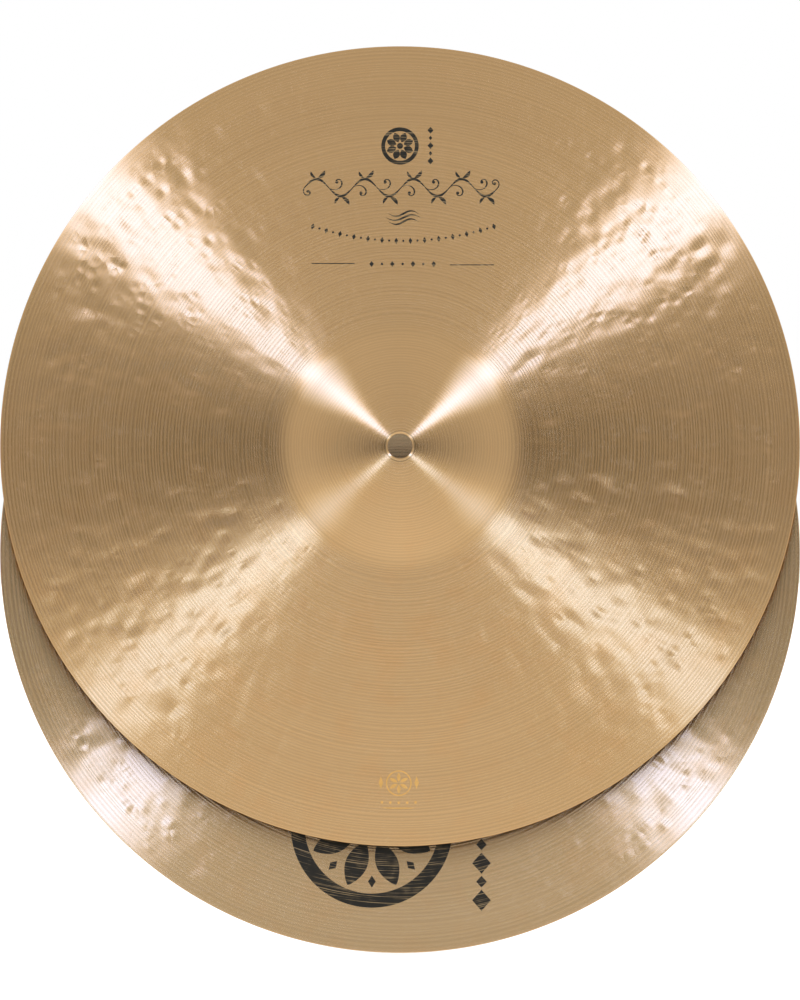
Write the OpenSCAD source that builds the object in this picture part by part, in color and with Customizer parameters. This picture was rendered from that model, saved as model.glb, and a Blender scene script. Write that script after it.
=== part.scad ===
// Pair of hand cymbals: two lathe-turned bronze plates held face to face with
// their hollow sides together, the rear plate set lower than the front one.
//
// Frame: +X right, +Z up, +Y towards the back. The plates stand upright and
// their axes run along Y. The origin is the centre of the pair: midway
// between the two rim planes and midway between the two plate axes.
// Names ending in _d are diameters, names ending in _r are radii.

/* [Plate] */
// Diameter of each plate over the rim
cymbal_d = 457.2; // [400:0.1:510]
// Plate thickness at the strap hole
hub_thickness = 2.2; // [1.8:0.05:2.8]
// Plate thickness at the edge of the bell
bell_thickness = 1.7; // [1.4:0.05:2.4]
// Plate thickness halfway along the bow
bow_thickness = 1.3; // [1.1:0.05:2]
// Plate thickness at the rim, which is turned fully round
rim_thickness = 1.1; // [0.9:0.05:1.6]

/* [Bell] */
// Diameter of the ring where the bell turns into the bow
bell_d = 128; // [110:1:150]
// Half width of the soft blend between the bell and the bow
bell_blend = 9; // [4:0.5:12]
// Radius of curvature of the bell's crown
bell_crown_r = 113; // [100:1:150]

/* [Bow] */
// Fall of the bow next to the bell, in degrees
bow_slope_in = 4.6; // [3:0.1:7]
// Fall of the bow at the rim, in degrees
bow_slope_out = 10.3; // [8:0.1:13]

/* [Strap hole] */
// Diameter of the strap hole
hole_d = 14; // [10:0.5:16]
// Bevel on both edges of the strap hole
hole_bevel = 0.3; // [0.1:0.05:0.4]
// Diameter of the flat ring turned around the hole on the outer side
seat_d = 19; // [18:0.5:26]

/* [Pair] */
// Height difference between the two plate axes
axis_offset = 61; // [0:1:120]
// Gap between the two rim planes, so that the resting plates never overlap
rim_gap = 0.4; // [0.2:0.1:5]

/* [Hidden] */
$fn = 180;

rim_r = cymbal_d / 2;
bell_r = bell_d / 2;
mid_bow_r = (bell_r + rim_r) / 2;
hole_r = hole_d / 2;
seat_r = seat_d / 2;

// How much smaller in radius the flat ring is on the inner side
inner_seat_inset = 0.4;
// Number of turned bands along the bell and the bow
bands = 84;
// Number of facets of the profile around the rounded rim
rim_steps = 8;

// Share of the way from start to end that x has covered, held within 0 to 1
function progress(start, end, x) = min(1, max(0, (x - start) / (end - start)));
// The same share, eased at both ends
function eased(start, end, x) =
    let (share = progress(start, end, x)) share * share * (3 - 2 * share);
function mix(from, to, share) = from * (1 - share) + to * share;

// Downward slope of the bell, a spherical crown, at radius r
function bell_fall(r) = r / sqrt(bell_crown_r * bell_crown_r - r * r);

// Downward slope of the bow at radius r, growing evenly towards the rim
function bow_fall(r) =
    mix(tan(bow_slope_in), tan(bow_slope_out), progress(bell_r, rim_r, r));

// Downward slope of the whole plate at radius r. Past the blend the bell is
// left out, since its sphere does not reach the rim.
function fall(r) =
    let (bow_share = eased(bell_r - bell_blend, bell_r + bell_blend, r))
    bow_share >= 1
    ? bow_fall(r)
    : mix(bell_fall(r), bow_fall(r), bow_share);

// Thickness of the plate at radius r
function thickness(r) =
    r < bell_r
    ? mix(hub_thickness, bell_thickness, eased(seat_r, bell_r, r))
    : r < mid_bow_r
    ? mix(bell_thickness, bow_thickness, eased(bell_r, mid_bow_r, r))
    : mix(bow_thickness, rim_thickness, eased(mid_bow_r, rim_r, r));

// Round edge of the rim: its radius, the radius of the circle its centre runs
// on, and the point where it meets the outer surface
round_r = rim_thickness / 2;
round_centre_r = rim_r - round_r;
edge_r = round_centre_r + round_r * sin(bow_slope_out);
edge_z = round_r * (1 + cos(bow_slope_out));

// Radii of the turned bands, from the seat ring to the round edge
radii = [for (i = [0 : bands]) mix(seat_r, edge_r, i / bands)];

// Drop across each band, by Simpson's rule
drops = [for (i = [0 : bands - 1])
    let (start = radii[i], end = radii[i + 1])
    (end - start) / 6 * (fall(start) + 4 * fall((start + end) / 2) + fall(end))];

// Height of the outer surface over the rim plane, summed in from the rim
function height(i) = i == bands ? edge_z : height(i + 1) + drops[i];

// Outer surface, from the seat ring to the rim
outer = [for (i = [0 : bands]) [radii[i], height(i)]];

// Round edge of the rim, between the two surfaces
rim = [for (k = [1 : rim_steps - 1])
    let (angle = 90 - bow_slope_out - 180 * k / rim_steps)
    [round_centre_r + round_r * cos(angle), round_r * (1 + sin(angle))]];

// Inner surface: the outer surface set in by the thickness along its normal
inner = [for (i = [bands : -1 : 1])
    let (r = radii[i], slope = atan(fall(r)))
    outer[i] - thickness(r) * [sin(slope), cos(slope)]];

// Bevelled strap hole with a flat turned ring on each side
top_z = height(0);
under_z = top_z - hub_thickness;
hole = [
    [seat_r - inner_seat_inset, under_z],
    [hole_r + hole_bevel, under_z],
    [hole_r, under_z + hole_bevel],
    [hole_r, top_z - hole_bevel],
    [hole_r + hole_bevel, top_z]
];

// One plate, rim plane at z = 0 and convex side up
module plate() {
    rotate_extrude()
        polygon(concat(outer, rim, inner, hole));
}

// Front plate: convex side towards -Y, set above the centre of the pair
module front_cymbal() {
    color([0.76, 0.60, 0.40])
        translate([0, -rim_gap / 2, axis_offset / 2])
            rotate([90, 0, 0])
                plate();
}

// Rear plate: hollow side towards -Y, set below the centre of the pair
module rear_cymbal() {
    color([0.71, 0.56, 0.38])
        translate([0, rim_gap / 2, -axis_offset / 2])
            rotate([-90, 0, 0])
                plate();
}

front_cymbal();
rear_cymbal();
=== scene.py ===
"""A pair of hammered, lathe-turned bronze cymbals with their hollow sides facing each other.

Their axes run along Y: the front plate's bell points to -Y, towards the camera, and the rear
plate's to +Y. +Z is up. Each plate carries printed and gilded ornament.

Shapes are worked out in millimetres in a plate's own frame and placed in metres:
  radius, angle : round the plate's axis (angle 0 is +X, 90 degrees is +Z)
  height        : over the rim plane, towards the plate's bell
"""

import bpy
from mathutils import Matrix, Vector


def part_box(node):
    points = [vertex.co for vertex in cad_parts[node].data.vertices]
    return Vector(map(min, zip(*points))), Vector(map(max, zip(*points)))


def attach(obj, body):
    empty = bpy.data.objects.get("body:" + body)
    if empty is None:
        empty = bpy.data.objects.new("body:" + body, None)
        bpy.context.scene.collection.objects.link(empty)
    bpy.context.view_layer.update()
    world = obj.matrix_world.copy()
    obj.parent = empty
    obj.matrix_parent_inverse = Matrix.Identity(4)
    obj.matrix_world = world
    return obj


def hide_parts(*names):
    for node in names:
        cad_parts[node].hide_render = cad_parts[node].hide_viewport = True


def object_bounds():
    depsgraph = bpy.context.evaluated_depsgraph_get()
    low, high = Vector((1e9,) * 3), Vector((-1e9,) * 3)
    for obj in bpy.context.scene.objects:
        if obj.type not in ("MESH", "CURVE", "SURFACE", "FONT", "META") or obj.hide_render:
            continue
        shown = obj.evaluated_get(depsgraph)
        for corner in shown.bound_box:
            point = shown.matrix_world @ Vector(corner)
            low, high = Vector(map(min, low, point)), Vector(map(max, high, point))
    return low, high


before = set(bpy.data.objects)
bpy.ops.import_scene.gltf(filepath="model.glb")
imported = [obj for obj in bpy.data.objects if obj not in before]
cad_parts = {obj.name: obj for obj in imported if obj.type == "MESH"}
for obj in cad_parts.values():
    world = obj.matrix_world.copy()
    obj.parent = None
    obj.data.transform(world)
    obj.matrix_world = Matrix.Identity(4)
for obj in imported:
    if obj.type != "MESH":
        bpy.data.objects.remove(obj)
CAD_BOX = [[float(c) for c in corner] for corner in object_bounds()]

import math

import bpy
import numpy as np

MM = 0.001
OUTER, INNER = 1, -1      # the two faces of a plate

# ------------------------------------------------------------------ plate profile
RIM_R = 228.6
HOLE_R = 7.0
SEAT_R = 9.5              # flat land round the hole
BEVEL = 0.3
BELL_R = 64.0
BLEND = 9.0               # half width of the blend from bell to bow
CROWN_R = 113.0           # radius of the bell's sphere
BOW_SLOPE_IN = math.tan(math.radians(4.6))
BOW_SLOPE_OUT = math.tan(math.radians(10.3))
HUB_THICK, BELL_THICK, BOW_THICK, RIM_THICK = 2.2, 1.7, 1.3, 1.1
SEGMENTS = 525            # round the plate


def ease(x):
    x = np.clip(x, 0.0, 1.0)
    return x * x * (3 - 2 * x)


def blend(start, end, weight):
    return start * (1 - weight) + end * weight


def slope(radius):
    """Downward slope of the outer face: a sphere at the bell, a steepening cone on the bow."""
    radius = np.asarray(radius, float)
    on_bell = np.minimum(radius, CROWN_R * 0.9)
    bell = on_bell / np.sqrt(CROWN_R ** 2 - on_bell ** 2)
    along = np.clip((radius - BELL_R) / (RIM_R - BELL_R), 0, 1)
    bow = blend(BOW_SLOPE_IN, BOW_SLOPE_OUT, along)
    return blend(bell, bow, ease((radius - BELL_R + BLEND) / (2 * BLEND)))


def thickness(radius):
    radius = np.asarray(radius, float)
    along = 2 * (radius - BELL_R) / (RIM_R - BELL_R)
    bell = blend(HUB_THICK, BELL_THICK, ease((radius - SEAT_R) / (BELL_R - SEAT_R)))
    bow = blend(BELL_THICK, BOW_THICK, ease(along))
    rim = blend(BOW_THICK, RIM_THICK, ease(along - 1))
    return np.where(radius < BELL_R, bell, np.where(radius < (BELL_R + RIM_R) / 2, bow, rim))


# rounded rim, met by the outer face at EDGE_R, EDGE_H
RIM_FALL = math.atan(float(slope(RIM_R)))
RIM_ROUND = RIM_THICK / 2
EDGE_R = RIM_R - RIM_ROUND + RIM_ROUND * math.sin(RIM_FALL)
EDGE_H = RIM_ROUND * (1 + math.cos(RIM_FALL))


def face_profiles():
    """Radii and heights of the outer face, then of the inner face offset by the thickness."""
    radii = np.linspace(SEAT_R, EDGE_R, 6000)
    slopes = slope(radii)
    drop = np.concatenate([[0], np.cumsum((slopes[1:] + slopes[:-1]) / 2 * np.diff(radii))])
    heights = EDGE_H + drop[-1] - drop
    tilts = np.arctan(slopes)
    thick = thickness(radii)
    return radii, heights, radii - thick * np.sin(tilts), heights - thick * np.cos(tilts)


OUTER_R, OUTER_H, INNER_R, INNER_H = face_profiles()
TOP_H = float(OUTER_H[0])
HUB_FLOOR_H = TOP_H - HUB_THICK


def face_height(face, radius):
    if face == OUTER:
        return np.interp(radius, OUTER_R, OUTER_H)
    under = np.minimum(np.interp(radius, INNER_R, INNER_H), HUB_FLOOR_H)
    return np.where(np.asarray(radius) < SEAT_R - 0.4, HUB_FLOOR_H, under)


# ------------------------------------------------------------------ hammer marks
def hammer_marks(seed):
    """Peened marks on the bow, drawn out along the radius by turning. Columns: radius, angle,
    radial width, tangential width, depth, face struck."""
    rng = np.random.default_rng(seed)
    rows = []
    min_radial = 2.15

    def strike(radius, angle, radial, tangential, depth, outer_share):
        on_bow = ease((radius - 62) / 24) * ease((229 - radius) / 16)
        depth *= float(on_bow) * (0.52 + 0.5 * radius / RIM_R)
        face = OUTER if rng.random() < outer_share else INNER
        rows.append((radius, angle, max(radial, min_radial), tangential, depth, face))

    # overlapping drawn-out strikes, in rows round the plate
    row_r = 68.0
    while row_r < 222.0:
        step = 8.6 + 0.018 * row_r
        count = int(2 * math.pi * row_r / step)
        start = rng.uniform(0, 2 * math.pi)
        for k in range(count):
            angle = start + 2 * math.pi * k / count + rng.normal(0, 0.32) * step / row_r
            width = rng.uniform(1.9, 3.1) * (0.75 + row_r / 520)
            strike(row_r + rng.normal(0, 3.0), angle, width * rng.uniform(0.9, 1.9), width,
                   depth=0.010 + 0.074 * rng.random() ** 1.4, outer_share=0.6)
        row_r += rng.uniform(7.5, 10.5)
    # knots of smaller, sharper strikes
    for _ in range(115):
        knot_r = math.sqrt(rng.uniform(100.0 ** 2, 220.0 ** 2))
        knot_angle = rng.uniform(0, 2 * math.pi)
        for _ in range(int(rng.integers(2, 8))):
            width = rng.uniform(1.8, 2.7)
            strike(knot_r + rng.normal(0, 9.0), knot_angle + rng.normal(0, 6.0) / knot_r,
                   width * rng.uniform(0.9, 1.5), width,
                   depth=0.020 + 0.070 * rng.random(), outer_share=0.75)
    # broad soft waves
    for _ in range(170):
        width = rng.uniform(6.5, 13.0)
        strike(math.sqrt(rng.uniform(78.0 ** 2, 220.0 ** 2)), rng.uniform(0, 2 * math.pi),
               width * rng.uniform(1.0, 1.7), width,
               depth=rng.uniform(0.010, 0.060), outer_share=0.5)
    return np.array(rows)


def relief(plate, face, radius, angle):
    """Height change of a face. A strike dents the face it lands on and lifts the other face
    a little wider and lower."""
    mark_r, mark_angle, radial, tangential, depth, struck = plate.marks.T
    own = struck == face
    spread = np.where(own, 1.0, 1.45)
    radial = radial * spread
    tangential = tangential * spread
    amount = -struck * depth * np.where(own, 1.0, 0.55)
    order = np.argsort(radius.ravel(), kind="stable")
    sorted_r = radius.ravel()[order]
    sorted_angle = angle.ravel()[order]
    change = np.zeros(sorted_r.shape)
    for k in range(len(plate.marks)):
        reach = 3.2 * max(radial[k], tangential[k])
        first, last = np.searchsorted(sorted_r, (mark_r[k] - reach, mark_r[k] + reach))
        out = sorted_r[first:last] - mark_r[k]
        turn = (sorted_angle[first:last] - mark_angle[k] + math.pi) % (2 * math.pi) - math.pi
        round_ = turn * mark_r[k]
        near = np.nonzero(np.abs(round_) < reach)[0]
        change[first + near] += amount[k] * np.exp(
            -0.5 * ((out[near] / radial[k]) ** 2 + (round_[near] / tangential[k]) ** 2))
    total = np.zeros(sorted_r.shape)
    total[order] = change
    return total.reshape(radius.shape)


# ------------------------------------------------------------------ plates
class Plate:
    """Where a plate's axis is, which way along Y its bell points, its marks and its colour."""

    def __init__(self, name, sign, seed, tint):
        self.name, self.sign, self.tint = name, sign, tint
        self.node = name + "_cymbal"
        self.body = name + "_plate"
        low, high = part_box(self.node)
        self.axis_x = (low.x + high.x) / 2 / MM
        self.axis_z = (low.z + high.z) / 2 / MM
        self.rim_y = (high.y if sign < 0 else low.y) / MM
        self.marks = hammer_marks(seed)

    def place(self, x, z, height):
        """Plate coordinates to the scene, in metres."""
        return np.stack([
            (self.axis_x + x) * MM,
            (self.rim_y + self.sign * height) * MM,
            (self.axis_z + z) * MM,
        ], -1)


FRONT_TINT = (0.70, 0.445, 0.212)
REAR_TINT = (0.69, 0.474, 0.252)
FRONT = Plate("front", -1, 20931, FRONT_TINT)
REAR = Plate("rear", 1, 77412, REAR_TINT)


def mesh_object(name, points, quads, smooth):
    mesh = bpy.data.meshes.new(name)
    mesh.vertices.add(len(points))
    mesh.vertices.foreach_set("co", np.asarray(points, np.float32).ravel())
    mesh.loops.add(quads.size)
    mesh.loops.foreach_set("vertex_index", quads.astype(np.int32).ravel())
    mesh.polygons.add(len(quads))
    mesh.polygons.foreach_set("loop_start", np.arange(0, quads.size, 4, dtype=np.int32))
    mesh.polygons.foreach_set("loop_total", np.full(len(quads), 4, np.int32))
    mesh.update(calc_edges=True)
    mesh.validate()
    mesh.polygons.foreach_set("use_smooth", np.full(len(mesh.polygons), smooth, bool))
    obj = bpy.data.objects.new(name, mesh)
    bpy.context.scene.collection.objects.link(obj)
    # a negative volume means that the faces point inwards
    volume = 0.0
    for corners in ((0, 1, 2), (0, 2, 3)):
        p0, p1, p2 = (points[quads[:, c]] for c in corners)
        volume += float(np.einsum("ij,ij->i", p0, np.cross(p1, p2)).sum())
    if volume < 0:
        mesh.flip_normals()
    return obj


def ring_radii():
    """Radii of the mesh rings: outer face from hole to rim, inner face from rim to hole."""
    spans = np.linspace
    outer = np.concatenate([
        [HOLE_R + BEVEL, 8.4, 9.3],
        spans(SEAT_R, 54.0, 18),
        spans(54.0, 74.0, 11)[1:],
        spans(74.0, 226.4, 69)[1:],
        [227.3, EDGE_R],
    ])
    inner = np.concatenate([
        [float(INNER_R[-1]), 227.2, 226.2],
        spans(225.0, 150.0, 29),
        spans(147.0, 74.0, 22),
        spans(71.6, 54.0, 8),
        spans(50.5, 9.6, 12),
        [9.05, HOLE_R + BEVEL],
    ])
    return outer, inner


def plate_mesh(plate):
    """Closed band of rings: outer face, rounded rim, inner face, bevelled hole."""
    angles = np.arange(SEGMENTS) * 2 * math.pi / SEGMENTS
    rings = []      # radius, heights, material slot (0 outer, 1 inner)

    def add_face(face, radii, slot):
        radius, angle = np.meshgrid(radii, angles, indexing="ij")
        heights = face_height(face, radius) + relief(plate, face, radius, angle)
        rings.extend((r, h, slot) for r, h in zip(radii, heights))

    outer, inner = ring_radii()
    add_face(OUTER, outer, 0)
    for k in range(1, 8):
        turn = math.radians(90) - RIM_FALL - math.pi * k / 8
        rings.append((RIM_R - RIM_ROUND + RIM_ROUND * math.cos(turn),
                      RIM_ROUND * (1 + math.sin(turn)), 0 if k < 6 else 1))
    add_face(INNER, inner, 1)
    # hole wall: distance out from the hole, distance in from the face; narrow bands keep it crisp
    wall = ((0.06, 0.18), (0.0, BEVEL), (0.0, 0.7))
    rings += [(HOLE_R + out, HUB_FLOOR_H + depth, 0) for out, depth in wall]
    rings += [(HOLE_R + out, TOP_H - depth, 0) for out, depth in reversed(wall)]

    radii = np.array([[r] for r, _, _ in rings])
    heights = np.array([np.broadcast_to(h, (SEGMENTS,)) for _, h, _ in rings])
    points = plate.place(radii * np.cos(angles), radii * np.sin(angles), heights).reshape(-1, 3)
    i = np.arange(len(rings))[:, None]
    j = np.arange(SEGMENTS)[None, :]
    row, next_row = i * SEGMENTS, (i + 1) % len(rings) * SEGMENTS
    next_j = (j + 1) % SEGMENTS
    quads = np.stack([row + j, next_row + j, next_row + next_j, row + next_j], -1).reshape(-1, 4)
    if plate.sign > 0:
        quads = quads[:, ::-1]
    obj = mesh_object(plate.name + "_cymbal_bronze", points, quads, smooth=True)
    slots = np.repeat(np.array([slot for _, _, slot in rings]), SEGMENTS)
    obj.data.polygons.foreach_set("material_index", slots.astype(np.int32))
    return obj


# ------------------------------------------------------------------ node helpers
class Socket:
    """An output socket that can be calculated with."""

    def __init__(self, net, output):
        self.net, self.output = net, output

    def math(self, operation, *others):
        return self.net.math(operation, self, *others)

    def __add__(self, other):
        return self.math("ADD", other)

    def __radd__(self, other):
        return self.net.math("ADD", other, self)

    def __sub__(self, other):
        return self.math("SUBTRACT", other)

    def __rsub__(self, other):
        return self.net.math("SUBTRACT", other, self)

    def __mul__(self, other):
        return self.math("MULTIPLY", other)

    def __truediv__(self, other):
        return self.math("DIVIDE", other)

    def swing(self, amount):
        """Centre a 0..1 value on zero and scale it."""
        return (self - 0.5) * amount

    def linear(self, span, to=(0.0, 1.0), kind="LINEAR"):
        """Map span to the range to, clamped."""
        return self.net.value("ShaderNodeMapRange", enumerate((self, *span, *to)),
                              interpolation_type=kind, clamp=True)

    def smooth(self, span, to=(0.0, 1.0)):
        return self.linear(span, to, "SMOOTHSTEP")


class Net:
    """Builds a node tree. Inputs are pairs of a socket's index or name and its value."""

    def __init__(self, tree):
        self.tree = tree
        tree.nodes.clear()

    def node(self, kind, inputs=(), **settings):
        made = self.tree.nodes.new(kind)
        for key, setting in settings.items():
            setattr(made, key, setting)
        for key, value in dict(inputs).items():
            if isinstance(value, Socket):
                self.tree.links.new(value.output, made.inputs[key])
            else:
                made.inputs[key].default_value = value
        return made

    def value(self, kind, inputs=(), output=0, **settings):
        return Socket(self, self.node(kind, inputs, **settings).outputs[output])

    def math(self, operation, *args):
        return self.value("ShaderNodeMath", enumerate(args), operation=operation)

    def mix(self, first, second, factor=1.0, blend_type="MIX"):
        first, second = ((*c, 1.0) if isinstance(c, tuple) else c for c in (first, second))
        return self.value("ShaderNodeMix", {0: factor, 6: first, 7: second}, output=2,
                          data_type="RGBA", blend_type=blend_type)

    def multiply(self, first, second):
        return self.mix(first, second, blend_type="MULTIPLY")

    def vector(self, x, y, z):
        return self.value("ShaderNodeCombineXYZ", enumerate((x, y, z)))

    def colour(self, red, green, blue):
        return self.value("ShaderNodeCombineColor", enumerate((red, green, blue)))

    def split(self, vector):
        made = self.node("ShaderNodeSeparateXYZ", {0: vector})
        return [Socket(self, output) for output in made.outputs]

    def noise(self, place, detail, rough=0.5, dims="3D"):
        key = "W" if dims == "1D" else "Vector"
        return self.value(
            "ShaderNodeTexNoise",
            {key: place, "Scale": 1.0, "Detail": detail, "Roughness": rough},
            noise_dimensions=dims)

    def grey_ramp(self, angle, full, stops):
        """Brightness by angle; stops are (degrees, brightness), full is the last degree."""
        made = self.node("ShaderNodeValToRGB", {0: angle / math.radians(full)})
        elements = made.color_ramp.elements
        while len(elements) > 1:
            elements.remove(elements[-1])
        for i, (degrees, grey) in enumerate(stops):
            element = elements[0] if i == 0 else elements.new(degrees / full)
            element.position = degrees / full
            element.color = (grey, grey, grey, 1.0)
        return Socket(self, made.outputs[0])

    def bump(self, height):
        """Relief from a height in millimetres."""
        return self.value("ShaderNodeBump", {"Distance": MM, "Height": height})

    def surface(self, shader):
        self.node("ShaderNodeOutputMaterial", {0: shader})


def new_material(name):
    material = bpy.data.materials.new(name)
    material.use_nodes = True
    return material, Net(material.node_tree)


class PlateSpace:
    """Radius, x and z from a plate's axis in millimetres, and the unit direction from it."""

    def __init__(self, net, plate):
        self.net = net
        x, _, z = net.split(net.value("ShaderNodeTexCoord", output="Object"))
        self.x = (x - plate.axis_x * MM) * 1000.0
        self.z = (z - plate.axis_z * MM) * 1000.0
        self.radius = (self.x * self.x + self.z * self.z).math("SQRT")
        safe = self.radius.math("MAXIMUM", 0.001)
        self.unit_x = self.x / safe
        self.unit_z = self.z / safe

    def rings(self, radius, size, detail, seed=None):
        """Noise that only changes along the radius."""
        place = radius / size
        if seed is not None:
            place = place + seed
        return self.net.noise(place, detail, dims="1D")

    def arcs(self, around, radius, size, detail):
        """Noise drawn out round the axis; around is how fast it changes that way."""
        place = self.net.vector(self.unit_x * around, self.unit_z * around, radius / size)
        return self.net.noise(place, detail)

    def patches(self, size, seed, detail, rough=0.5):
        place = self.net.vector(self.x / size, self.z / size, seed)
        return self.net.noise(place, detail, rough)

    def radial(self):
        return self.net.vector(self.unit_x, 0.0, self.unit_z)


# ------------------------------------------------------------------ bronze
ROUGH = 0.17
ROUGH_INNER = 0.19
GROOVE_TONE = 0.105       # how much the grooves lighten and darken the metal

# pitch and depths in mm; loose and broken weigh the uneven rings and the short scores
OUTER_FINISH = dict(pitch=1.82, groove_depth=0.041, hair_depth=0.010,
                    loose=0.40, broken=0.52, roughness=ROUGH)
INNER_FINISH = dict(pitch=2.15, groove_depth=0.058, hair_depth=0.018,
                    loose=0.32, broken=0.40, roughness=ROUGH_INNER)


def cells(net, place, dims, randomness):
    """Distance to the point in each cell, and a random value for the cell."""
    made = net.node("ShaderNodeTexVoronoi",
                    {"Vector": place, "Scale": 1.0, "Randomness": randomness},
                    voronoi_dimensions=dims, feature="F1")
    pick = net.value("ShaderNodeSeparateColor", {0: Socket(net, made.outputs["Color"])})
    return Socket(net, made.outputs["Distance"]), pick


def soft_pit(distance):
    return (distance * distance * -0.5).math("EXPONENT")


def dents(at, cell, sigma, seed, keep):
    """Small peening dents, 0..1 deep: a round pit in each cell, some cells left out."""
    place = at.net.vector(at.x / cell + seed, at.z / cell - seed, 0.0)
    distance, pick = cells(at.net, place, "2D", randomness=0.9)
    return soft_pit(distance * (cell / sigma)) * pick.linear((1.0 - keep, 1.0))


def strikes(at, across, along, sigma, seed):
    """Drawn-out strikes in polar cells, 0..1 deep, crowding together towards the bell.
    across is the cell width at a radius of 150 mm, along its length along the radius."""
    turns = 150.0 / across
    place = at.net.vector(at.unit_x * turns + seed, at.unit_z * turns - seed, at.radius / along)
    distance, pick = cells(at.net, place, "3D", randomness=0.85)
    return soft_pit(distance / sigma) * pick.linear((0.0, 1.0), to=(0.15, 1.0))


def turning_grooves(at, pitch, loose, broken):
    """An even feed that drifts in phase and depth, finer and fainter on the bell, with looser
    rings and short scores over it."""
    radius = at.radius
    turn = radius - (BELL_R - radius).math("MAXIMUM", 0.0) * 0.16
    wander = at.rings(radius, size=7.0, detail=1.0, seed=3.0)
    around = at.arcs(around=1.3, radius=radius, size=11.0, detail=2.0)
    even = ((turn / pitch + wander * 1.6) * (2 * math.pi)).math("SINE")
    rings = at.rings(turn, size=pitch * 0.40, detail=0.0)
    scores = at.arcs(around=7.0, radius=turn, size=pitch * 0.42, detail=0.0)
    strength = (around.smooth((0.3, 0.7), to=(0.75, 1.15))
                * radius.smooth((BELL_R - 10, BELL_R + 6), to=(0.86, 1.0)))
    return (even * 0.43 + rings.swing(loose)) * strength + scores.swing(broken) * loose


def hammer_pits(at, face, sign):
    """The finest hammer dents, in mm, over the modelled ones."""
    knots = at.patches(size=22.0, seed=5.0 + face, detail=1.0)
    knots = knots.smooth((0.38, 0.62), to=(0.30, 1.0))
    reach = at.radius / RIM_R
    drawn = strikes(at, across=6.3, along=8.0, sigma=0.25, seed=3.7 * face + sign)
    small = dents(at, cell=5.6, sigma=1.2, seed=9.1 * face + sign, keep=0.5)
    pits = (drawn * reach * reach * 0.125 + small * 0.011) * knots
    if face == OUTER:
        pits = pits * at.z.smooth((-80.0, 20.0), to=(0.62, 1.0))
    return pits


def painted_step_light(at):
    """Painted light of a turned step round the hole: a painted highlight on a narrow land inside
    a painted shade line.
    """
    land_highlight = (at.radius - 7.95).math("ABSOLUTE").smooth((0.25, 0.55), to=(0.10, 0.0))
    step_shade = (at.radius - 8.75).math("ABSOLUTE").smooth((0.10, 0.42), to=(0.20, 0.0))
    return land_highlight, step_shade


def contact_shade(at):
    """Shadow where another surface lies close, faded out near the lowest edge. Only rays over
    a metre long see it, so that it isn't part of the metal's own colour in an exported copy."""
    net = at.net
    open_ = net.value("ShaderNodeAmbientOcclusion", {"Distance": 0.028}, output="AO", samples=12)
    ray = net.value("ShaderNodeLightPath", output="Ray Length")
    shut = (1.0 - open_) * at.z.smooth((-212.0, -190.0)) * ray.linear((1.2, 1.4))
    threshold, gain, darkest = 0.012, 2.4, 0.74
    shade = (shut - threshold).math("MAXIMUM", 0.0) * gain
    return (1.0 - shade).math("MAXIMUM", darkest)


def bronze(name, plate, face, pitch, groove_depth, hair_depth, loose, broken, roughness):
    """Lathe-turned bronze: the grooves run round the plate, so the metal scatters light along
    the radius and hardly at all along the groove."""
    material, net = new_material(name)
    at = PlateSpace(net, plate)
    radius = at.radius
    groove = turning_grooves(at, pitch, loose, broken)
    hair = at.rings(radius, size=0.22, detail=0.0) - 0.5
    coarse = at.rings(radius, size=pitch * 2.6, detail=1.0, seed=31.7)
    bands = at.rings(radius, size=26.0, detail=1.0, seed=7.1)
    patch = at.patches(size=55.0, seed=3.3, detail=3.0, rough=0.55)
    warm = at.patches(size=20.0, seed=9.4, detail=2.0)

    # ring tone, broad bands, slow patches, brighter worn rim and hole lip
    tone = (1.0 + groove * GROOVE_TONE + coarse.swing(0.03) + bands.swing(0.04)
            + patch.swing(0.04))
    edge_wear = radius.smooth((RIM_R - 1.1, RIM_R - 0.4))
    lip_wear = radius.smooth((HOLE_R + 0.2, HOLE_R + 1.0), to=(1.0, 0.0))
    tone = tone + (edge_wear + lip_wear) * 0.10
    if face == OUTER:
        # painted highlight and painted shade of the step round the hole, added to the colour
        land_highlight, step_shade = painted_step_light(at)
        tone = tone + land_highlight - step_shade
    else:
        tone = tone * contact_shade(at)
    red, green, blue = plate.tint
    warmth = (warm.smooth((0.42, 0.78), to=(0.0, 0.5))
              * at.z.linear((60, -110), to=(0.15, 1.0)))
    base = net.mix(plate.tint, (red * 1.03, green * 0.95, blue * 0.87), factor=warmth)
    base = net.multiply(base, net.colour(tone, tone, tone))

    rough = (roughness + coarse.swing(0.03) + patch.swing(0.02)
             - (edge_wear + lip_wear) * 0.04)
    on_bow = (radius.smooth((BELL_R + 2, BELL_R + 16))
              * radius.smooth((RIM_R - 14, RIM_R - 3), to=(1.0, 0.0)))
    height = (groove * groove_depth + hair * hair_depth
              - hammer_pits(at, face, plate.sign) * on_bow)
    net.surface(net.value("ShaderNodeBsdfPrincipled", {
        "Metallic": 1.0,
        "Base Color": base,
        "Roughness": rough,
        "Anisotropic": 1.0,
        "Tangent": at.radial(),
        "Normal": net.bump(height),
    }))
    return material


for plate in (FRONT, REAR):
    obj = plate_mesh(plate)
    for side, face, finish in (("outer", OUTER, OUTER_FINISH), ("inner", INNER, INNER_FINISH)):
        obj.data.materials.append(bronze(f"{plate.name}_bronze_{side}", plate, face, **finish))
    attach(obj, plate.body)
    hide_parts(plate.node)


# ------------------------------------------------------------------ ornament
# Points are (right, up) from the plate's axis, as seen by someone facing that side of it.
def polar(angle, radius):
    return np.stack([radius * np.cos(angle), radius * np.sin(angle)], -1)


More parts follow.
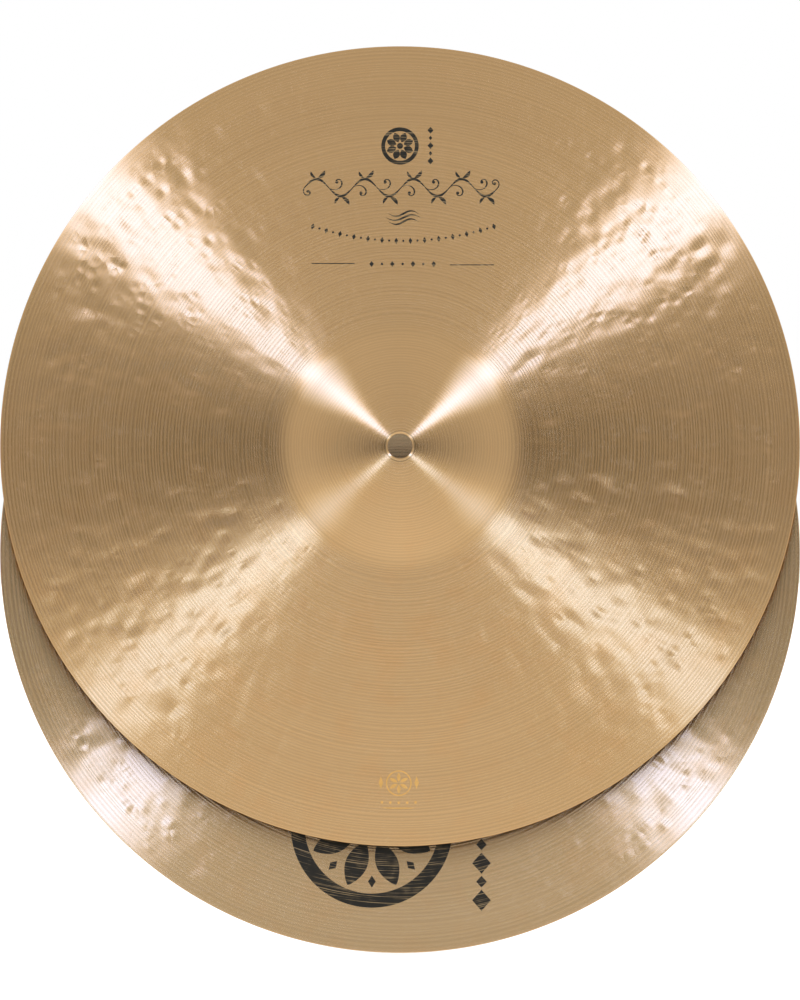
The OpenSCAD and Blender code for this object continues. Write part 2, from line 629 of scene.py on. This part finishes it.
class Print:
    """A thin closed layer of ink or gilding that follows the metal, hammer marks included."""

    SINK = 0.03           # how far the layer reaches into the metal

    def __init__(self, plate, face):
        self.plate, self.face = plate, face
        self.flip = 1 if plate.sign * face < 0 else -1
        self.grids = []

    def patch(self, grid, wrap=False):
        """Add a grid of points (rows, columns, 2). wrap joins the last row to the first."""
        down = grid[1:, :-1] - grid[:-1, :-1]
        across = grid[:-1, 1:] - grid[:-1, :-1]
        if (down[..., 0] * across[..., 1] - down[..., 1] * across[..., 0]).sum() < 0:
            grid = grid[:, ::-1]
        self.grids.append((grid, wrap))

    def stroke(self, path, width):
        """A band along path; width is one number or one per point."""
        path = np.asarray(path, float)
        width = np.broadcast_to(np.asarray(width, float), (len(path),))
        ahead = np.gradient(path, axis=0)
        ahead /= np.maximum(np.hypot(ahead[:, 0], ahead[:, 1]), 1e-9)[:, None]
        side = np.stack([-ahead[:, 1], ahead[:, 0]], -1)
        offsets = width[:, None] * np.linspace(-0.5, 0.5, 2 + int(width.max() / 1.8))
        self.patch(path[:, None, :] + side[:, None, :] * offsets[..., None])

    def leaf(self, start, end, width, bend=0.0, blunt=0.75):
        """A pointed leaf, bowed sideways by bend."""
        along = end - start
        length = np.hypot(*along)
        t = np.linspace(0, 1, max(6, int(length)))
        ahead = along / length
        bow = np.array([-ahead[1], ahead[0]]) * (bend * np.sin(math.pi * t))[:, None]
        self.stroke(start + along * t[:, None] + bow,
                    0.06 + width * np.sin(math.pi * t) ** blunt)

    def petals(self, center, count, first, inner, outer, width, blunt=0.75):
        for k in range(count):
            angle = first + k * math.pi * 2 / count
            self.leaf(center + polar(angle, inner), center + polar(angle, outer), width,
                      blunt=blunt)

    def dot(self, center, radius):
        """A square grid pressed into a disc."""
        side = np.linspace(-1, 1, 3 + 2 * int(math.ceil(radius / 1.6)))
        x, y = np.meshgrid(side, side, indexing="ij")
        disc = np.stack([x * np.sqrt(1 - y * y / 2), y * np.sqrt(1 - x * x / 2)], -1)
        self.patch(np.asarray(center) + radius * disc)

    def lozenge(self, center, width, height, turn=0.0):
        side = np.linspace(0, 1, 2 + int(max(width, height) / 2.4))
        s, t = np.meshgrid(side, side, indexing="ij")
        x, y = (s - t) * width / 2, (s + t - 1) * height / 2
        cos, sin = math.cos(turn), math.sin(turn)
        self.patch(np.stack([center[0] + x * cos - y * sin, center[1] + x * sin + y * cos], -1))

    def column(self, foot, pitch, count, big, small):
        """Large and small lozenges in turn, upwards from foot; sizes are (width, height)."""
        for k in range(count):
            self.lozenge((foot[0], foot[1] + pitch * k), *(big if k % 2 == 0 else small))

    def ring(self, center, inner, outer):
        count = max(24, int(2 * math.pi * outer / 1.6))
        angles = np.arange(count) * 2 * math.pi / count
        radii = np.linspace(inner, outer, 2 + int((outer - inner) / 1.8))
        self.patch(center + polar(angles[:, None], radii), wrap=True)

    def build(self, name, proud):
        flat = np.concatenate([grid.reshape(-1, 2) for grid, _ in self.grids])
        x, z = flat[:, 0] * self.flip, flat[:, 1]
        radius, angle = np.hypot(x, z), np.arctan2(z, x)
        metal = face_height(self.face, radius) + relief(self.plate, self.face, radius, angle)
        points, quads = [], []
        first = 0
        for k, (grid, wrap) in enumerate(self.grids):
            rows, columns = grid.shape[:2]
            size = rows * columns
            part = slice(first, first + size)
            # patches that cross lie at slightly different heights
            lift = proud + 0.004 * (k % 3)
            for rise in (lift, -self.SINK):
                points.append(self.plate.place(x[part], z[part], metal[part] + self.face * rise))
            top = np.arange(size).reshape(rows, columns) + 2 * first
            if wrap:
                top = np.concatenate([top, top[:1]])
            low = top + size
            quads.append(np.stack(
                [top[:-1, :-1], top[1:, :-1], top[1:, 1:], top[:-1, 1:]], -1).reshape(-1, 4))
            quads.append(np.stack(
                [low[:-1, :-1], low[:-1, 1:], low[1:, 1:], low[1:, :-1]], -1).reshape(-1, 4))
            edges = [(top[:, 0], low[:, 0]), (top[::-1, -1], low[::-1, -1])]
            if not wrap:
                edges += [(top[0, ::-1], low[0, ::-1]), (top[-1], low[-1])]
            for edge, under in edges:
                quads.append(np.stack([edge[:-1], under[:-1], under[1:], edge[1:]], -1))
            first += size
        return mesh_object(name, np.concatenate(points), np.concatenate(quads), smooth=False)


def curl(start, heading, side, radius, decay):
    """A scroll that leaves start along heading and winds inwards; side is +1 to the left."""
    spoke = heading + side * math.pi / 2
    swept = np.linspace(0, 6.1, 44)
    arm = polar(spoke + math.pi + side * swept, radius * np.exp(-decay * swept))
    return start + polar(spoke, radius) + arm


def running_scroll(ink):
    """A waving stem with a pair of leaves at each crest and curls between."""
    middle, level, half, count = 0.7, 147.6, 6.9, 8
    left = middle - half * count
    length = 2 * half * count
    right = left + np.linspace(0, 1, 150) * length
    phase = (right - left) / (2 * half) * math.pi
    ink.stroke(np.stack([right, level + 4.9 * np.sin(phase)], -1),
               0.50 + 1.05 * np.abs(np.sin(phase)) ** 1.5)
    for k in range(count):
        side = 1 if k % 2 == 0 else -1
        node = left + 2 * half * k
        crest = np.array([node + half, level + side * 5.6])
        ink.leaf(crest + (0.7, 0), crest + (4.8, side * 4.2), width=2.1, bend=-side * 0.8)
        ink.leaf(crest - (0.7, 0), crest + (-3.4, side * 3.6), width=1.5, bend=side * 0.6)
        if k == 0:
            continue
        path = curl((node + 0.5, level + side * 0.5), math.radians(50) * side, -side,
                    radius=6.0, decay=0.40)
        swell = np.sin(np.linspace(0, math.pi * 1.6, len(path))) ** 2
        ink.stroke(path, np.linspace(0.55, 1.15, len(path)) * (0.6 + 0.6 * swell))
        ink.dot(path[-1], radius=0.9)
    for heading, end in ((218, left), (38, left + length)):
        tail = curl((end, level), math.radians(heading), 1, radius=3.4, decay=0.30)
        ink.stroke(tail, np.linspace(0.6, 0.9, len(tail)))
        ink.dot(tail[-1], radius=0.8)


def crest_print(plate):
    """Rosette, column of lozenges, running scroll, wave, smile and ruled line, at the top."""
    ink = Print(plate, OUTER)
    center = np.array([0.0, 171.4])
    ink.ring(center, inner=8.5, outer=10.7)
    ink.petals(center, 8, math.pi / 8, inner=2.3, outer=8.1, width=3.9, blunt=0.8)
    ink.dot(center, radius=1.7)
    ink.column(foot=(17.4, 162.8), pitch=4.4, count=5, big=(3.4, 3.9), small=(2.0, 2.6))
    running_scroll(ink)
    # wave of three tapered strands: rise from the middle one, share of the full length
    t = np.linspace(0, 1, 30)
    for rise, share in ((2.3, 0.86), (0.0, 1.0), (-2.3, 0.86)):
        right = 2.0 + (t - 0.5) * 20.0 * share
        up = 130.4 + rise + 1.55 * np.sin((t - 0.5) * 2 * math.pi)
        ink.stroke(np.stack([right, up], -1), 0.12 + 1.0 * np.sin(math.pi * t) ** 1.2)
    # smile of lozenges and dots
    count, spread = 27, 36.4
    for k in range(count):
        angle = math.radians(-90 + (k - (count - 1) / 2) * spread / (count - 1))
        place = np.array([1.9, 282.7]) + polar(angle, 165.6)
        if k % 2 == 0:
            ink.lozenge(place, width=2.2, height=3.6, turn=angle + math.pi / 2)
        else:
            ink.dot(place, radius=0.62)
    # ruled line broken by a short row
    for start, end, up in ((-50.4, -25.8, 104.2), (28.5, 53.6, 103.4)):
        ink.stroke(np.linspace((start, up), (end, up), 16), 0.5)
    for k in range(7):
        place = (-16.2 + 5.9 * k, 103.9)
        if k % 2 == 0:
            ink.lozenge(place, width=2.6, height=3.4)
        else:
            ink.dot(place, radius=0.7)
    return ink


def star_stamp(plate):
    """A small gilded seal at the bottom: ring, star, bowed row of beads and bowed line."""
    gilt = Print(plate, OUTER)
    center = np.array([-0.7, -192.4])
    gilt.ring(center, inner=6.6, outer=7.4)
    gilt.petals(center, 6, math.pi / 2, inner=0.9, outer=6.0, width=2.0)
    for side in (-1, 1):
        gilt.lozenge(center + (side * 10.2, 0.3), width=2.6, height=7.4)
    middle = -90.2        # degrees
    for k in range(5):
        gilt.dot(polar(math.radians(middle + (k - 2) * 1.35), 203.6), radius=0.80)
    t = np.linspace(-1, 1, 25)
    gilt.stroke(polar(np.radians(middle + 2.6 * t), 206.7),
                0.10 + 0.75 * np.sqrt(np.maximum(1 - t * t, 0)))
    return gilt


def medallion_print(plate):
    """The large inner print: a broad ring round a petalled wheel, a lozenge column beside it."""
    ink = Print(plate, INNER)
    center = np.array([-16.1, -156.4])
    ink.ring(center, inner=38.4, outer=46.4)
    ink.petals(center, 8, math.pi / 8, inner=9.5, outer=36.2, width=12.6, blunt=0.8)
    for k in range(8):
        angle = k * math.pi / 4
        ink.lozenge(center + polar(angle, 31.5), width=4.4, height=6.8, turn=angle - math.pi / 2)
    ink.dot(center, radius=7.0)
    ink.column(foot=(46.6, -198.6), pitch=10.6, count=8, big=(10.6, 12.0), small=(6.0, 6.6))
    return ink


def print_material(name, plate, colour, metal, most_bare, shine):
    """A layer over turned metal, whose turning lines show through as thin bare rings.
    shine gives the remaining shader inputs."""
    material, net = new_material(name)
    at = PlateSpace(net, plate)
    fine = at.rings(at.radius, size=0.55, detail=1.0)
    broken = at.arcs(around=9.0, radius=at.radius, size=0.8, detail=1.0)
    worn = at.patches(size=6.0, seed=2.2, detail=3.0)
    bare = fine + broken.swing(0.7) + worn.swing(0.35)
    bare = bare.smooth((0.56, 0.80), to=(0.0, most_bare))
    mottled = net.mix(colour, tuple(c * 1.5 for c in colour), factor=worn)
    net.surface(net.value("ShaderNodeBsdfPrincipled", {
        "Base Color": net.mix(mottled, metal, factor=bare),
        "Normal": net.bump(broken * 0.03 - bare * 0.02),
        **shine(at, bare, broken),
    }))
    return material


def ink_shine(at, bare, broken):
    return {
        "Metallic": bare,
        "Specular IOR Level": 0.20,
        "Roughness": 0.34 + broken.swing(0.2),
    }


def gilt_shine(at, bare, broken):
    return {
        "Metallic": 1.0,
        "Roughness": ROUGH + 0.03 + broken.swing(0.06),
        "Anisotropic": 1.0,
        "Tangent": at.radial(),
    }


for plate in (FRONT, REAR):
    ink = print_material(plate.name + "_ink", plate, colour=(0.0125, 0.0105, 0.0060),
                         metal=(0.55, 0.38, 0.19), most_bare=0.52, shine=ink_shine)
    gilt = print_material(plate.name + "_gilt", plate, colour=(0.72, 0.42, 0.13),
                          metal=FRONT_TINT, most_bare=0.7, shine=gilt_shine)
    for name, design, material, proud in (
        ("_crest_print", crest_print, ink, 0.035),
        ("_medallion_print", medallion_print, ink, 0.035),
        ("_star_stamp", star_stamp, gilt, 0.030),
    ):
        obj = design(plate).build(plate.name + name, proud)
        obj.data.materials.append(material)
        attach(obj, plate.body)

# ------------------------------------------------------------------ surroundings
# Directions are in degrees: from the top round the plates' axes, and tilt away from the axis.
UPPER_LIGHT, LOWER_LIGHT = 49.7, 129.7

# (degrees from the top, brightness) of the wall near the axis and far off it
WALL_NEAR = [(0, 0.55), (30, 0.58), (52, 0.54), (66, 0.33), (78, 0.155), (90, 0.082),
             (101, 0.102), (112, 0.325), (125, 0.56), (145, 0.655), (180, 0.665)]
WALL_FAR = [(0, 0.67), (30, 0.69), (70, 0.68), (90, 0.665), (102, 0.68), (111, 0.76),
            (121, 0.86), (129, 0.83), (180, 0.905)]
# (tilt, value): share of the far wall, then strength of the upper and the lower panel
FAR_SHARE = [(8, 0.03), (15.5, 0.30), (20.5, 0.84), (26, 0.66), (34, 0.68), (50, 1.0)]
UPPER_FADE = [(0, 1.0), (16, 1.0), (26, 0.88), (90, 0.88)]
LOWER_FADE = [(0, 1.0), (9, 1.0), (13, 0.73), (17, 0.43), (20, 0.27), (24, 0.17), (31, 0.11),
              (42, 0.12), (55, 0.22), (70, 0.22), (84, 0.0)]


def radians(*degrees):
    return tuple(math.radians(d) for d in degrees)


def softbox(net, around, tilt, centre, half, soft, rise, drop, colour, edge, half_far, soft_far):
    """Soft panel, half wide each side of centre with a soft border, lit between the tilts rise
    and drop. Its middle is colder than its edges; edge holds the fall-off of each colour. Far
    off the axis it spreads to half_far, soft_far."""
    edge_far = (0.95, 1.0, 1.2)
    spread = tilt.smooth(radians(22, 52))
    half = half + spread * (half_far - half)
    soft = soft + spread * (soft_far - soft)
    away = (around - math.radians(centre)).math("ABSOLUTE") / math.radians(1)
    inside = ((half + soft - away) / (soft * 2.0)).smooth((0.0, 1.0))
    lit = tilt.smooth(radians(*rise)) * tilt.smooth(radians(*drop), to=(1.0, 0.0))
    shade = [inside.math("POWER", near + spread * (far - near)) * lit
             for near, far in zip(edge, edge_far)]
    return net.multiply(colour, net.colour(*shade))


def wall(net, from_top, tilt):
    """The wall, a little warmer beside the panels."""
    def beside(centre):
        away = (from_top - math.radians(centre)) / math.radians(19.0)
        return (away.math("POWER", 2.0) * -1.0).math("EXPONENT")

    near = net.grey_ramp(from_top, 180.0, WALL_NEAR)
    far = net.grey_ramp(from_top, 180.0, WALL_FAR)
    plain = net.mix(near, far, factor=net.grey_ramp(tilt, 90.0, FAR_SHARE))
    warm = beside(UPPER_LIGHT) + beside(LOWER_LIGHT)
    over_bow = tilt.smooth(radians(20, 34), to=(1.0, 0.35))
    tint = net.colour(1.0, 1.0 - warm * 0.01, 1.0 - warm * over_bow * 0.14)
    return net.multiply(plain, tint)


def build_world():
    """Reflections see a wall and two soft panels; everything else sees plain white."""
    world = bpy.data.worlds.new("studio")
    bpy.context.scene.world = world
    world.use_nodes = True
    world.cycles.sampling_method = "NONE"
    net = Net(world.node_tree)
    x, y, z = net.split(net.value("ShaderNodeTexCoord", output="Generated"))
    turned = (z.math("ARCTAN2", x) - math.pi / 2).math("WRAP", math.pi, -math.pi)
    from_top = turned.math("ABSOLUTE")
    from_top_lower = (turned - math.radians(1.25)).math("ABSOLUTE")
    tilt = y.math("ABSOLUTE").math("MINIMUM", 1.0).math("ARCCOSINE")

    upper = softbox(net, from_top, tilt, centre=UPPER_LIGHT, half=6.3, soft=3.6,
                    rise=(1, 12), drop=(60, 80), colour=(1.46, 2.16, 5.15),
                    edge=(0.66, 1.0, 1.75), half_far=8.0, soft_far=10.5)
    lower = softbox(net, from_top_lower, tilt, centre=LOWER_LIGHT, half=5.6, soft=3.5,
                    rise=(-2, -1), drop=(88, 89), colour=(1.90, 2.96, 6.0),
                    edge=(0.75, 1.0, 1.6), half_far=7.0, soft_far=10.0)
    upper = net.multiply(upper, net.grey_ramp(tilt, 90.0, UPPER_FADE))
    lower = net.multiply(lower, net.grey_ramp(tilt, 90.0, LOWER_FADE))
    panels = net.mix(upper, lower, blend_type="ADD")
    studio = net.mix(wall(net, from_top, tilt), panels, blend_type="ADD")

    path = net.node("ShaderNodeLightPath")
    is_camera = Socket(net, path.outputs["Is Camera Ray"])
    is_glossy = Socket(net, path.outputs["Is Glossy Ray"])
    # strength 1.45 lights the floor and prints, 1.0 is what the camera sees
    strength = net.value("ShaderNodeMix", {0: is_camera, 2: 1.45, 3: 1.0}, data_type="FLOAT")
    plain = net.value("ShaderNodeBackground",
                      {"Color": (1.0, 1.0, 1.0, 1.0), "Strength": strength})
    glossy = net.value("ShaderNodeBackground", {"Color": studio})
    both = net.value("ShaderNodeMixShader", enumerate((is_glossy, plain, glossy)))
    net.node("ShaderNodeOutputWorld", {0: both})


def build_floor():
    """A wide white disc just under the plates, not seen in reflections."""
    radius, count = 40.0, 96
    floor_z = CAD_BOX[0][2] - 0.0006
    ring = [(math.cos(2 * math.pi * k / count) * radius,
             math.sin(2 * math.pi * k / count) * radius, floor_z) for k in range(count)]
    mesh = bpy.data.meshes.new("studio_floor")
    mesh.from_pydata([(0, 0, floor_z)] + ring, [],
                     [(0, 1 + k, 1 + (k + 1) % count) for k in range(count)])
    floor = bpy.data.objects.new("studio_floor", mesh)
    bpy.context.scene.collection.objects.link(floor)
    material, net = new_material("studio_floor")
    matt = net.value("ShaderNodeBsdfDiffuse", {"Color": (0.86, 0.86, 0.86, 1)})
    glow = net.value("ShaderNodeEmission", {"Strength": 0.30})
    net.surface(net.value("ShaderNodeAddShader", enumerate((matt, glow))))
    mesh.materials.append(material)
    floor.visible_glossy = False


def build_gap_fill():
    """Soft light between the plates, so that what shows through the front hole isn't black."""
    radius, radiance = 0.042, 0.53
    fill = bpy.data.lights.new("gap_fill", "AREA")
    fill.shape = "DISK"
    fill.size = 2 * radius
    fill.color = (0.45, 0.60, 0.77)
    fill.energy = radiance * math.pi * math.pi * radius ** 2
    obj = bpy.data.objects.new("gap_fill", fill)
    obj.location = (0.0, -0.020, -0.010)
    obj.rotation_euler = (math.radians(90), 0, 0)
    obj.visible_camera = False
    bpy.context.scene.collection.objects.link(obj)
    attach(obj, FRONT.body)


def build_camera():
    """A long lens looking along +Y."""
    distance, view_span, sensor = 9.0, 0.5715, 36.0
    camera = bpy.data.cameras.new("camera")
    camera.sensor_width = sensor
    camera.lens = sensor * distance / view_span
    camera.clip_start = 0.1
    camera.clip_end = 100.0
    obj = bpy.data.objects.new("camera", camera)
    obj.location = (0.0, -distance, -0.0002)
    obj.rotation_euler = (math.radians(90), 0, 0)
    scene = bpy.context.scene
    scene.collection.objects.link(obj)
    scene.camera = obj
    scene.view_settings.view_transform = "Standard"
    scene.view_settings.look = "None"


build_world()
build_floor()
build_gap_fill()
build_camera()
